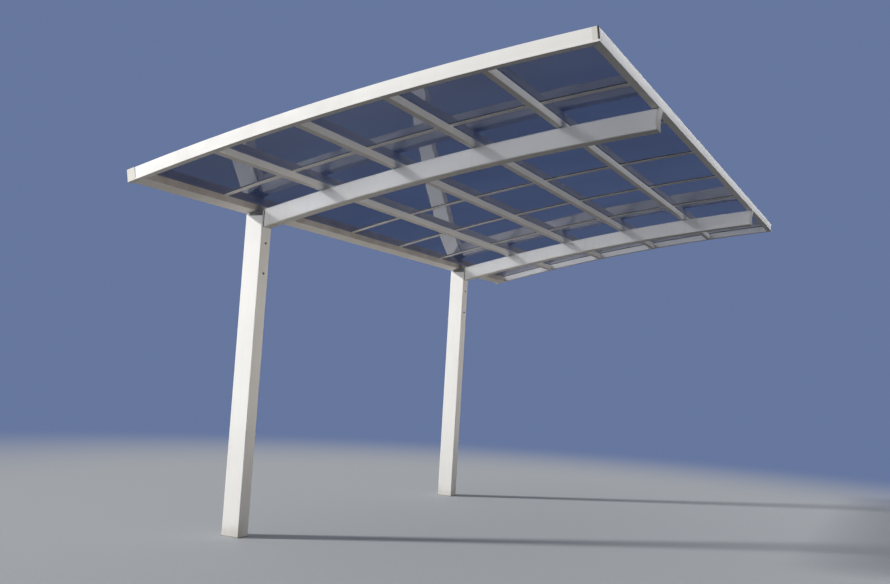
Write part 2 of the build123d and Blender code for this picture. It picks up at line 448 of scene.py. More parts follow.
@dataclass(frozen=True)
class Mortar:
    """Grey sealing mortar, sandy."""

    name: str = "foot_mortar"
    pale: Colour = (0.42, 0.41, 0.39, 1)
    dark: Colour = (0.24, 0.23, 0.22, 1)

    def make(self) -> bpy.types.Material:
        """Build the material.

        Returns:
            The material, with its tree complete.
        """
        material, g = Graph.of_material(self.name)
        sand = g.noise(600.0, 4.0)
        colour = g.tint(g.ramp(g.sum("ADD", sand, g.noise(40.0, 4.0)), 0.7, 1.3), self.pale, self.dark)
        g.surface(g.add("ShaderNodeBsdfPrincipled", {
            "Base Color": colour, "Roughness": g.ramp(sand, 0.3, 0.7, 0.75, 0.95),
            "Normal": g.bump(sand, 0.6, 0.8 * MM),
        }).outputs[0])
        return material


@dataclass(frozen=True)
class SmokedSheet:
    """Smoke-tinted clear sheet: glossy, slightly wavy, dusty on top, and lamps shine through it."""

    name: str = "smoked_sheet"
    tint: Colour = (0.16, 0.185, 0.25, 1)
    dense: Colour = (0.11, 0.13, 0.19, 1)
    dust: Colour = (0.30, 0.28, 0.25, 1)
    lamp_tint_back: Colour = (0.58, 0.58, 0.585, 1)
    lamp_tint_front: Colour = (0.32, 0.325, 0.335, 1)
    ior: float = 1.5

    def make(self) -> bpy.types.Material:
        """Build the material.

        Returns:
            The material, with its tree complete.
        """
        material, g = Graph.of_material(self.name)
        film = g.noise(18.0, 6.0)
        level = g.ramp(g.facing("Z"), 0.5, 0.9)
        lies = g.sum("MULTIPLY", level, g.ramp(g.noise(2.2, 7.0), 0.35, 0.75, 0.02, 0.14))
        colour = g.tint(g.ramp(g.noise(1.4, 4.0), 0.3, 0.7), self.tint, self.dense)
        colour = g.tint(lies, colour, self.dust)
        rough = g.ramp(film, 0.4, 0.8, 0.012, 0.06)
        wave = g.noise(2.6, 1.0)
        sheet = g.add("ShaderNodeBsdfPrincipled", {
            "Base Color": colour, "Roughness": rough, "IOR": self.ior,
            "Transmission Weight": g.sum("SUBTRACT", 1.0, lies),
            "Normal": g.bump(wave, 0.25, 6 * MM),
        }).outputs[0]
        along = g.add("ShaderNodeSeparateXYZ", {0: g.place()}).outputs["X"]
        shade = g.tint(g.ramp(along, 0.0, 2.9), self.lamp_tint_back, self.lamp_tint_front)
        clear = g.add("ShaderNodeBsdfTransparent", {"Color": shade}).outputs[0]
        path = g.add("ShaderNodeLightPath")
        g.surface(g.add("ShaderNodeMixShader", {
            0: path.outputs["Is Shadow Ray"], 1: sheet, 2: clear,
        }).outputs[0])
        return material


@dataclass
class Finishes:
    """Every finish of the carport, made once."""

    posts: bpy.types.Material = field(init=False)
    along_x: bpy.types.Material = field(init=False)
    along_y: bpy.types.Material = field(init=False)
    gutter: bpy.types.Material = field(init=False)
    caps: bpy.types.Material = field(init=False)
    plastic: bpy.types.Material = field(init=False)
    galvanised: bpy.types.Material = field(init=False)
    bolts: bpy.types.Material = field(init=False)
    screws: bpy.types.Material = field(init=False)
    dark_steel: bpy.types.Material = field(init=False)
    recess_shade: bpy.types.Material = field(init=False)
    rubber: bpy.types.Material = field(init=False)
    mortar: bpy.types.Material = field(init=False)
    sheet: bpy.types.Material = field(init=False)

    def __post_init__(self) -> None:
        """Make the materials."""
        self.posts = PowderCoat("post_coat", Run.ALONG_Z, splash_height=0.30).make()
        self.along_x = PowderCoat("arm_coat", Run.ALONG_X).make()
        self.along_y = PowderCoat("beam_coat", Run.ALONG_Y).make()
        # The gutter's faces that look to the open side, its inner wall among them, get heavy painted shade.
        self.gutter = PowderCoat("gutter_coat", Run.ALONG_Y, inner_face_shade=0.95).make()
        self.caps = PowderCoat("cap_coat", Run.ALONG_X, clean=(0.80, 0.80, 0.79, 1)).make()
        self.plastic = MouldedPlastic().make()
        self.galvanised = Metal(
            "galvanised_steel", (0.62, 0.63, 0.64, 1), (0.40, 0.41, 0.42, 1), 90.0, 0.35, 0.6
        ).make()
        self.bolts = Metal("bolt_steel", (0.30, 0.28, 0.26, 1), (0.16, 0.15, 0.14, 1), 400.0).make()
        self.screws = Metal("screw_steel", (0.66, 0.66, 0.65, 1), (0.45, 0.45, 0.45, 1), 500.0).make()
        self.dark_steel = Metal(
            "dark_steel", (0.44, 0.43, 0.37, 1), (0.30, 0.29, 0.25, 1), 220.0, 0.5, 0.75
        ).make()
        self.rubber = Rubber().make()
        # Dark brown strips that paint the shade in the joints of the front corners.
        self.recess_shade = Rubber("corner_recess_shade", (0.050, 0.036, 0.028, 1), (0.13, 0.105, 0.085, 1)).make()
        self.mortar = Mortar().make()
        self.sheet = SmokedSheet().make()


# ----------------------------------------------------------------- modelling


class Bench:
    """Steps of modelling by hand, each on one piece."""

    @staticmethod
    def clear() -> None:
        """Leave nothing selected and nothing in edit mode."""
        active = bpy.context.view_layer.objects.active
        if active is not None and active.mode != "OBJECT":
            bpy.ops.object.mode_set(mode="OBJECT")
        bpy.ops.object.select_all(action="DESELECT")

    @staticmethod
    def hold(piece: bpy.types.Object) -> None:
        """Select one piece alone and make it active.

        Args:
            piece: the piece.
        """
        Bench.clear()
        piece.select_set(True)
        bpy.context.view_layer.objects.active = piece

    @staticmethod
    def block(size: Triple, centre: Triple = (0.0, 0.0, 0.0)) -> bpy.types.Object:
        """A block to start from.

        Args:
            size: its size along X, Y and Z.
            centre: its centre.

        Returns:
            The block, its place in its mesh.
        """
        Bench.clear()
        bpy.ops.mesh.primitive_cube_add(size=1, location=centre, scale=size)
        bpy.ops.object.transform_apply(location=True, rotation=True, scale=True)
        return bpy.context.object

    @staticmethod
    def rod(radius: float, length: float, sides: int, centre: Triple = (0.0, 0.0, 0.0)) -> bpy.types.Object:
        """A rod along Z to start from.

        Args:
            radius: its radius.
            length: its length.
            sides: how many sides it has.
            centre: its centre.

        Returns:
            The rod, its place in its mesh.
        """
        Bench.clear()
        bpy.ops.mesh.primitive_cylinder_add(vertices=sides, radius=radius, depth=length, location=centre)
        bpy.ops.object.transform_apply(location=True, rotation=True, scale=True)
        return bpy.context.object

    @staticmethod
    def section(width: float, height: float, sides: int, place: Matrix) -> bpy.types.Object:
        """A filled outline in its own XY plane, put in place.

        Args:
            width: its size along its own X.
            height: its size along its own Y.
            sides: how many sides it has.
            place: where it stands.

        Returns:
            The piece.
        """
        Bench.clear()
        bpy.ops.mesh.primitive_circle_add(vertices=sides, radius=0.5, fill_type="NGON")
        piece = bpy.context.object
        piece.matrix_world = place @ Matrix.Diagonal((width, height, 1.0, 1.0))
        bpy.ops.object.transform_apply(location=True, rotation=True, scale=True)
        return piece

    @staticmethod
    @contextmanager
    def editing(piece: bpy.types.Object, mode: str = "FACE") -> Iterator[None]:
        """Edit mode on one piece, with nothing selected at its start.

        Args:
            piece: the piece to edit.
            mode: what is picked, as FACE or EDGE.

        Yields:
            Nothing. Edit mode ends with the block.
        """
        Bench.hold(piece)
        bpy.ops.object.mode_set(mode="EDIT")
        bpy.ops.mesh.select_mode(type=mode)
        bpy.ops.mesh.select_all(action="DESELECT")
        yield
        bpy.ops.object.mode_set(mode="OBJECT")

    @staticmethod
    def pick_faces(test: Callable[[Vector, Vector], bool]) -> None:
        """Select the faces that pass a test, and no others.

        Args:
            test: says yes or no from a face's centre and normal.
        """
        mesh = bmesh.from_edit_mesh(bpy.context.edit_object.data)
        for face in mesh.faces:
            face.select_set(test(face.calc_center_median(), face.normal))
        bmesh.update_edit_mesh(bpy.context.edit_object.data)

    @staticmethod
    def pick_edges(test: Callable[[Vector, Vector], bool]) -> None:
        """Select the edges that pass a test, and no others.

        Args:
            test: says yes or no from an edge's middle and direction.
        """
        mesh = bmesh.from_edit_mesh(bpy.context.edit_object.data)
        for edge in mesh.edges:
            first, last = (v.co for v in edge.verts)
            edge.select_set(test((first + last) / 2, (last - first).normalized()))
        bmesh.update_edit_mesh(bpy.context.edit_object.data)

    @staticmethod
    @contextmanager
    def editing_top(piece: bpy.types.Object) -> Iterator[None]:
        """Edit mode on one piece, with the faces that look up selected at its start.

        Args:
            piece: the piece to edit.

        Yields:
            Nothing. Edit mode ends with the block.
        """
        with Bench.editing(piece):
            Bench.pick_faces(lambda centre, normal: normal.z > FACING)
            yield

    @staticmethod
    def round_edges(
        piece: bpy.types.Object, radius: float, segments: int, test: Callable[[Vector, Vector], bool]
    ) -> None:
        """Round some edges of a piece.

        Args:
            piece: the piece.
            radius: how far the rounding reaches from the edge.
            segments: how many faces make the round.
            test: says yes or no from an edge's middle and direction.
        """
        with Bench.editing(piece, "EDGE"):
            Bench.pick_edges(test)
            bpy.ops.mesh.bevel(offset=radius, segments=segments)

    @staticmethod
    def screw_head(
        radius: float, height: float, taper: float, rim: float, dish: float = 0.0
    ) -> bpy.types.Object:
        """A small round screw head, pointing up Z.

        Args:
            radius: its radius where it meets the piece under it.
            height: how far it stands out.
            taper: the share of its radius that its top has.
            rim: how wide the rim of its top is.
            dish: how deep its top is sunk inside the rim.

        Returns:
            The head, its foot on the origin.
        """
        head = Bench.rod(radius, height, SMALL_ROUND, (0, 0, height / 2))
        with Bench.editing_top(head):
            bpy.ops.transform.resize(value=(taper, taper, 1))
            bpy.ops.mesh.inset(thickness=rim)
            if dish:
                bpy.ops.transform.translate(value=(0, 0, -dish))
        return head

    @staticmethod
    def close(piece: bpy.types.Object) -> None:
        """Merge doubles and turn every face outward.

        Args:
            piece: the piece.
        """
        with Bench.editing(piece):
            bpy.ops.mesh.select_all(action="SELECT")
            bpy.ops.mesh.remove_doubles(threshold=0.00001)
            bpy.ops.mesh.normals_make_consistent(inside=False)

    @staticmethod
    def copy(piece: bpy.types.Object, place: Matrix) -> bpy.types.Object:
        """A copy with its own mesh, put in place.

        Args:
            piece: the piece to copy.
            place: where the copy stands. A mirrored place keeps its faces outward.

        Returns:
            The copy, its place in its mesh.
        """
        twin = bpy.data.objects.new(piece.name, piece.data.copy())
        bpy.context.scene.collection.objects.link(twin)
        twin.data.transform(place)
        if place.determinant() < 0:
            twin.data.flip_normals()
        return twin

    @staticmethod
    def join(pieces: list[bpy.types.Object]) -> bpy.types.Object:
        """Join pieces into the first.

        Args:
            pieces: the pieces, at least one.

        Returns:
            The first piece, which then holds them all.
        """
        Bench.clear()
        for piece in pieces:
            piece.select_set(True)
        bpy.context.view_layer.objects.active = pieces[0]
        if len(pieces) > 1:
            bpy.ops.object.join()
        return pieces[0]

    @staticmethod
    def discard(piece: bpy.types.Object) -> None:
        """Take away a pattern piece that has been copied."""
        bpy.data.objects.remove(piece)

    @staticmethod
    def done(piece: bpy.types.Object, name: str, finish: bpy.types.Material, slot: str | None = None) -> None:
        """Name, dress and mount a finished piece.

        Args:
            piece: the piece, its place already in its mesh.
            name: its name.
            finish: its material, unless it has its own.
            slot: not used.
        """
        Bench.hold(piece)
        bpy.ops.object.shade_smooth_by_angle(angle=math.radians(35))
        piece.name = piece.data.name = name
        if not piece.data.materials:
            piece.data.materials.append(finish)
        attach(piece, BODY)
        log.info("made %s", name)


# ------------------------------------------------------------------ fittings


@dataclass
class Members:
    """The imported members, which keep their shapes and get their finishes."""

    finishes: Finishes

    def finish_of(self, name: str) -> bpy.types.Material:
        """The finish of a member.

        Args:
            name: the member's name in the frame.

        Returns:
            The material.
        """
        f = self.finishes
        if name.startswith("roof_sheet"):
            return f.sheet
        if name.endswith(("end_cap", "corner")):
            return f.plastic
        if name.endswith(("foot_plate", "root_plate", "seat_pads")):
            return f.galvanised
        if name.startswith("glazing_cap"):
            return f.caps
        if name.endswith("post"):
            return f.posts
        if name.startswith("gutter"):
            return f.gutter
        if name.startswith(("front", "purlin")):
            return f.along_y
        return f.along_x

    def build(self) -> None:
        """Dress every member."""
        for name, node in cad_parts.items():
            node.data.materials.clear()
            node.data.materials.append(self.finish_of(name))
        log.info("dressed %d members", len(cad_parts))


@dataclass
class PostFittings:
    """What each post carries.

    Two bolts on its open side, saddle plates and a plug at its head, a rubber ring in the joint at the root
    of its arm, whose black paints the shade of that joint, and a bead of mortar round its foot. Rims,
    chamfers and dishes of the bolts are shares of the radius or the height that they belong to.
    """

    sizes: Carport
    finishes: Finishes
    bolt_heights: tuple[float, float] = (1.870, 2.090)
    head_radius: float = 0.0075
    head_height: float = 0.0053
    washer_radius: float = 0.0090
    washer_thickness: float = 0.0016
    washer_rim: float = 0.10
    head_chamfer: float = 0.16
    head_crown: float = 0.12
    head_rim: float = 0.35
    head_dish: float = 0.08
    plug_thickness: float = 0.003
    plug_gap: float = 0.0003
    plug_rim: float = 0.004
    plug_dish: float = 0.001
    bead_width: float = 0.004
    bead_height: float = 0.006
    bead_rounding: float = 0.006
    bead_slope: float = 0.8
    saddle_back: float = -0.046
    saddle_front: float = 0.0745
    saddle_low: float = 2.286
    saddle_thickness: float = 0.0015
    saddle_rounding: float = 0.004
    saddle_screws: tuple[float, float] = (-0.022, 0.052)
    saddle_screw_rise: float = 0.011
    saddle_screw_radius: float = 0.0036
    saddle_screw_height: float = 0.0022
    saddle_screw_taper: float = 0.75
    saddle_screw_rim: float = 0.0012
    saddle_screw_dish: float = 0.0006
    gasket_width: float = 0.085
    gasket_low: float = 2.2050
    gasket_high: float = 2.3250
    gasket_rim: float = 0.005
    gasket_hole_rise: float = 0.0036
    joint_gap: float = 0.006
    joint_filled: float = 0.94

    def bolt(self) -> bpy.types.Object:
        """A hexagon bolt head on its washer.

        Returns:
            The bolt, its washer's foot on the origin and its head up Z.
        """
        thickness = self.washer_thickness
        washer = Bench.rod(self.washer_radius, thickness, LARGE_ROUND, (0, 0, thickness / 2))
        with Bench.editing_top(washer):
            bpy.ops.mesh.inset(thickness=self.washer_radius * self.washer_rim)
        middle = thickness + self.head_height / 2
        head = Bench.rod(self.head_radius, self.head_height, HEXAGON, (0, 0, middle))
        with Bench.editing_top(head):
            bpy.ops.mesh.inset(thickness=self.head_radius * self.head_chamfer)
            bpy.ops.transform.translate(value=(0, 0, self.head_height * self.head_crown))
            bpy.ops.mesh.inset(thickness=self.head_radius * self.head_rim)
            bpy.ops.transform.translate(value=(0, 0, -self.head_height * self.head_dish))
        return Bench.join([washer, head])

    def plug(self, y: float) -> bpy.types.Object:
        """The plug that closes a post's head in front of the gutter beam.

        Args:
            y: the post's place along the bay.

        Returns:
            The plug, in place.
        """
        arc, s = self.sizes.arc, self.sizes
        front = s.post_depth / 2 - s.post_wall - self.plug_gap
        seat = arc.point(s.gutter_width, y)
        width = s.post_width - 2 * (s.post_wall + self.plug_gap)
        low = seat.z - self.plug_thickness
        centre = ((front + seat.x) / 2, y, low + self.plug_thickness / 2)
        plug = Bench.block((front - seat.x, width, self.plug_thickness), centre)
        with Bench.editing_top(plug):
            bpy.ops.mesh.inset(thickness=self.plug_rim)
            bpy.ops.transform.translate(value=(0, 0, -self.plug_dish))
        return plug

    def bead(self, y: float) -> bpy.types.Object:
        """The bead of mortar round a post's foot.

        Args:
            y: the post's place along the bay.

        Returns:
            The bead, in place.
        """
        s = self.sizes
        size = (s.post_depth + 2 * self.bead_width, s.post_width + 2 * self.bead_width, self.bead_height)
        bead = Bench.block(size, (0, y, self.bead_height / 2))
        Bench.round_edges(bead, self.bead_rounding, 3, lambda middle, way: abs(way.z) > FACING)
        with Bench.editing_top(bead):
            bpy.ops.mesh.inset(thickness=self.bead_width * self.bead_slope)
        return bead

    def saddle(self, y: float) -> bpy.types.Object:
        """The two screwed plates that hold the gutter beam to a post's head.

        Args:
            y: the post's place along the bay.

        Returns:
            Both plates with their screws, in place and joined.
        """
        s, arc = self.sizes, self.sizes.arc
        seat = arc.point(s.gutter_width, y)
        length, height = self.saddle_front - self.saddle_back, seat.z - self.saddle_low
        parts = []
        for side in Side:
            face = y + side.value * s.post_width / 2
            middle = face + side.value * self.saddle_thickness / 2
            centre = (self.saddle_back + length / 2, middle, self.saddle_low + height / 2)
            plate = Bench.block((length, self.saddle_thickness, height), centre)
            with Bench.editing(plate):
                bpy.ops.mesh.select_all(action="SELECT")
                bpy.ops.mesh.bisect(
                    plane_co=seat, plane_no=arc.outward(s.gutter_width / 2), clear_outer=True, use_fill=True
                )
            low = self.saddle_low + MM
            Bench.round_edges(
                plate, self.saddle_rounding, 3, lambda at, way: abs(way.y) > FACING and at.z < low
            )
            parts.append(plate)
            turn = Matrix.Rotation(math.radians(-90 * side.value), 4, "X")
            out = face + side.value * self.saddle_thickness
            for x in self.saddle_screws:
                head = Bench.screw_head(
                    self.saddle_screw_radius,
                    self.saddle_screw_height,
                    self.saddle_screw_taper,
                    self.saddle_screw_rim,
                    self.saddle_screw_dish,
                )
                place = Matrix.Translation((x, out, self.saddle_low + self.saddle_screw_rise))
                parts.append(Bench.copy(head, place @ turn))
                Bench.discard(head)
        return Bench.join(parts)

    def gasket(self, y: float) -> bpy.types.Object:
        """The rubber ring round the plate between a post and the root of its arm: its black fills the joint
        gap as painted shade.

        Args:
            y: the post's place along the bay.

        Returns:
            The ring, in place.
        """
        # The ring fills most of the gap, so its black stands for the shade in the joint.
        thickness = self.joint_gap * self.joint_filled
        centre = (
            self.sizes.post_depth / 2 + self.joint_gap / 2, y, (self.gasket_low + self.gasket_high) / 2
        )
        ring = Bench.block((thickness, self.gasket_width, self.gasket_high - self.gasket_low), centre)
        with Bench.editing(ring):
            Bench.pick_faces(lambda at, normal: abs(normal.x) > FACING)
            bpy.ops.mesh.inset(thickness=self.gasket_rim)
            bpy.ops.transform.translate(value=(0, 0, self.gasket_hole_rise))
            bpy.ops.mesh.bridge_edge_loops()
        Bench.close(ring)
        return ring

    def build(self) -> None:
        """Make and mount the fittings of both posts."""
        pattern = self.bolt()
        outward = Matrix.Rotation(math.radians(90), 4, "Y")
        for side in Side:
            y = self.sizes.post_y(side)
            for number, height in enumerate(self.bolt_heights, start=1):
                place = Matrix.Translation((self.sizes.post_depth / 2, y, height)) @ outward
                bolt = Bench.copy(pattern, place)
                Bench.done(bolt, f"{side.word}_post_bolt_{number}", self.finishes.bolts)
            Bench.done(self.plug(y), f"{side.word}_post_head_plug", self.finishes.plastic, "moulded_cap")
            Bench.done(self.bead(y), f"{side.word}_post_foot_bead", self.finishes.mortar)
            Bench.done(self.saddle(y), f"{side.word}_post_saddle", self.finishes.dark_steel)
            Bench.done(self.gasket(y), f"{side.word}_arm_root_gasket", self.finishes.rubber)
        Bench.discard(pattern)


@dataclass
class GlazingSeals:
    """Black rubber beads where the sheets meet the bars, the caps, the gable frames and the front beam."""

    sizes: Carport
    finishes: Finishes
    bead: float = 0.0040
    bead_sides: int = 6
    bead_lift: float = 0.4
    steps: int = 32

    def curved(self, y: float, height: float) -> bpy.types.Object:
        """A bead that follows the arc.

        Args:
            y: its place along the bay.
            height: how far it lies out of the arc.

        Returns:
            The bead, in place.
        """
        s, arc = self.sizes, self.sizes.arc
        across = Matrix(((0, 0, 1), (1, 0, 0), (0, 1, 0))).to_4x4()
        start = arc.placement(s.sheet_start, y, height) @ across
        bead = Bench.section(self.bead, self.bead, self.bead_sides, start)
        with Bench.editing(bead):
            bpy.ops.mesh.select_all(action="SELECT")
            bpy.ops.mesh.spin(
                steps=self.steps,
                angle=(s.sheet_start - s.front_inner) / arc.radius,
                center=arc.centre,
                axis=(0, 1, 0),
            )
        Bench.close(bead)
        return bead

    def straight(self, height: float) -> bpy.types.Object:
        """A bead along the front beam's inner face.

        Args:
            height: how far it lies out of the arc.

        Returns:
            The bead, in place.
        """
        s = self.sizes
        start, end = s.inner_y(Side.NEAR), s.inner_y(Side.FAR)
        upright = Matrix.Rotation(math.radians(-90), 4, "X")
        place = s.arc.placement(s.front_inner, start, height) @ upright
        bead = Bench.section(self.bead, self.bead, self.bead_sides, place)
        with Bench.editing(bead):
            bpy.ops.mesh.select_all(action="SELECT")
            bpy.ops.mesh.extrude_region_move(TRANSFORM_OT_translate={"value": (0, end - start, 0)})
        Bench.close(bead)
        return bead

    def build(self) -> None:
        """Make and mount every bead."""
        s, lift = self.sizes, self.bead * self.bead_lift
        under, over = s.sheet_seat - lift, s.sheet_top + lift
        for number, y in enumerate(s.bar_places, start=1):
            beads = [self.curved(y + sign * s.cap_width / 2, over) for sign in (-1, 1)]
            beads += [self.curved(y + sign * s.bar_width / 2, under) for sign in (-1, 1)]
            Bench.done(Bench.join(beads), f"glazing_seal_{number}", self.finishes.rubber)
        for side in Side:
            beads = [self.curved(s.inner_y(side), height) for height in (under, over)]
            Bench.done(Bench.join(beads), f"{side.word}_gable_seal", self.finishes.rubber)
        beads = [self.straight(height) for height in (under, over)]
        Bench.done(Bench.join(beads), "front_seal", self.finishes.rubber)


@dataclass
class CapScrews:
    """The screws that clamp each glazing cap, on sealing washers.

    The washer's taper and the head's chamfer and crown are shares of a radius or a height.
    """

    sizes: Carport
    finishes: Finishes
    count: int = 9
    end_gap: float = 0.090
    head_radius: float = 0.0048
    head_height: float = 0.0036
    washer_radius: float = 0.0072
    washer_thickness: float = 0.0022
    washer_taper: float = 0.72
    head_chamfer: float = 0.18
    head_crown: float = 0.15

    def screw(self) -> bpy.types.Object:
        """A hexagon screw head on a domed washer.

        Returns:
            The screw, its washer's foot on the origin and its head up Z.
        """
        thickness = self.washer_thickness
        washer = Bench.rod(self.washer_radius, thickness, SMALL_ROUND, (0, 0, thickness / 2))
        with Bench.editing_top(washer):
            bpy.ops.transform.resize(value=(self.washer_taper, self.washer_taper, 1))
        middle = thickness + self.head_height / 2
        head = Bench.rod(self.head_radius, self.head_height, HEXAGON, (0, 0, middle))
        with Bench.editing_top(head):
            bpy.ops.mesh.inset(thickness=self.head_radius * self.head_chamfer)
            bpy.ops.transform.translate(value=(0, 0, self.head_height * self.head_crown))
        return Bench.join([washer, head])

    def build(self) -> None:
        """Make and mount the screws of every cap."""
        s = self.sizes
        pattern = self.screw()
        first, last = s.sheet_start + self.end_gap, s.front_inner - self.end_gap
        pitch = (last - first) / (self.count - 1)
        for number, y in enumerate(s.bar_places, start=1):
            places = [s.arc.placement(first + step * pitch, y, s.cap_top) for step in range(self.count)]
            row = Bench.join([Bench.copy(pattern, place) for place in places])
            Bench.done(row, f"glazing_cap_screws_{number}", self.finishes.screws)
        Bench.discard(pattern)


@dataclass
class PurlinCleats:
    """The angle cleats that hold the purlins' ends to the gable frames, behind each purlin.

    Each leg has one screw, at a share of the leg's length from the corner.
    """

    sizes: Carport
    finishes: Finishes
    leg: float = 0.030
    thickness: float = 0.003
    low: float = 0.006
    high: float = 0.044
    corner_rounding: float = 0.3
    screw_at: float = 0.6
    screw_radius: float = 0.0045
    screw_height: float = 0.0028
    screw_taper: float = 0.7
    screw_rim: float = 0.2

    def cleat(self) -> bpy.types.Object:
        """A cleat for the near end.

        Returns:
            The cleat, its corner at the origin, one leg along -X and one along Y.
        """
        height = self.high - self.low
        middle = (self.high + self.low) / 2
        plate = Bench.block((self.leg, self.thickness, height), (-self.leg / 2, self.thickness / 2, middle))
        with Bench.editing(plate):
            bpy.ops.mesh.select_all(action="SELECT")
            bpy.ops.mesh.bisect(plane_co=(-self.thickness, 0, 0), plane_no=(1, 0, 0))
            Bench.pick_faces(lambda centre, normal: normal.y > FACING and centre.x > -self.thickness)
            grown = self.leg - self.thickness
            bpy.ops.mesh.extrude_region_move(TRANSFORM_OT_translate={"value": (0, grown, 0)})
        Bench.round_edges(
            plate,
            self.thickness * self.corner_rounding,
            2,
            lambda at, way: abs(way.z) > FACING and abs(at.x - at.y) > self.leg / 2,
        )
        across = Matrix.Rotation(math.radians(-90), 4, "X")
        along = Matrix.Rotation(math.radians(-90), 4, "Y")
        parts = [plate]
        for place in (
            Matrix.Translation((-self.leg * self.screw_at, self.thickness, middle)) @ across,
            Matrix.Translation((-self.thickness, self.leg * self.screw_at, middle)) @ along,
        ):
            rim = self.screw_radius * self.screw_rim
            head = Bench.screw_head(self.screw_radius, self.screw_height, self.screw_taper, rim)
            parts.append(Bench.copy(head, place))
            Bench.discard(head)
        return Bench.join(parts)

    def build(self) -> None:
        """Make and mount a cleat at each end of each purlin."""
        s = self.sizes
        pattern = self.cleat()
        mirror = Matrix.Diagonal((1, -1, 1, 1))
        for side in Side:
            for number, along in enumerate(s.purlin_places, start=1):
                place = s.arc.placement(along - s.purlin_width / 2, s.inner_y(side))
                if side is Side.FAR:
                    place = place @ mirror
                cleat = Bench.copy(pattern, place)
                name = f"{side.word}_purlin_cleat_{number}"
                Bench.done(cleat, name, self.finishes.galvanised, "galvanised_steel")
        Bench.discard(pattern)


@dataclass
class GutterStrainers:
    """The leaf strainers over the gutter's two outlets, which drain down the posts.

    The ring's outside and rim are shares of the cage's radius, and its sink is a share of its height.
    """

    sizes: Carport
    finishes: Finishes
    radius: float = 0.019
    wire: float = 0.0016
    ring_height: float = 0.003
    ring_outside: float = 1.18
    ring_rim: float = 0.25
    ring_sink: float = 0.6
    meridians: int = 12
    parallels: int = 8
    cut_height: float = 0.0001

    def strainer(self) -> bpy.types.Object:
        """A domed cage on a ring.

        Returns:
            The strainer, its ring's foot on the origin and its dome up Z.
        """
        Bench.clear()
        bpy.ops.mesh.primitive_uv_sphere_add(
            segments=self.meridians, ring_count=self.parallels, radius=self.radius
        )
        cage = bpy.context.object
        with Bench.editing(cage):
            bpy.ops.mesh.select_all(action="SELECT")
            bpy.ops.mesh.bisect(plane_co=(0, 0, self.cut_height), plane_no=(0, 0, 1), clear_inner=True)
        Bench.hold(cage)
        wires = cage.modifiers.new("wires", "WIREFRAME")
        wires.thickness = self.wire
        bpy.ops.object.modifier_apply(modifier=wires.name)
        outside, middle = self.radius * self.ring_outside, self.ring_height / 2
        ring = Bench.rod(outside, self.ring_height, LARGE_ROUND, (0, 0, middle))
        with Bench.editing_top(ring):
            bpy.ops.mesh.inset(thickness=self.radius * self.ring_rim)
            bpy.ops.transform.translate(value=(0, 0, -self.ring_height * self.ring_sink))
        return Bench.join([ring, cage])

    def build(self) -> None:
        """Make and mount a strainer over each post."""
        s = self.sizes
        pattern = self.strainer()
        for side in Side:
            place = s.arc.placement(s.gutter_width - s.trough_centre, s.post_y(side), s.gutter_floor)
            Bench.done(Bench.copy(pattern, place), f"{side.word}_gutter_strainer", self.finishes.rubber)
        Bench.discard(pattern)


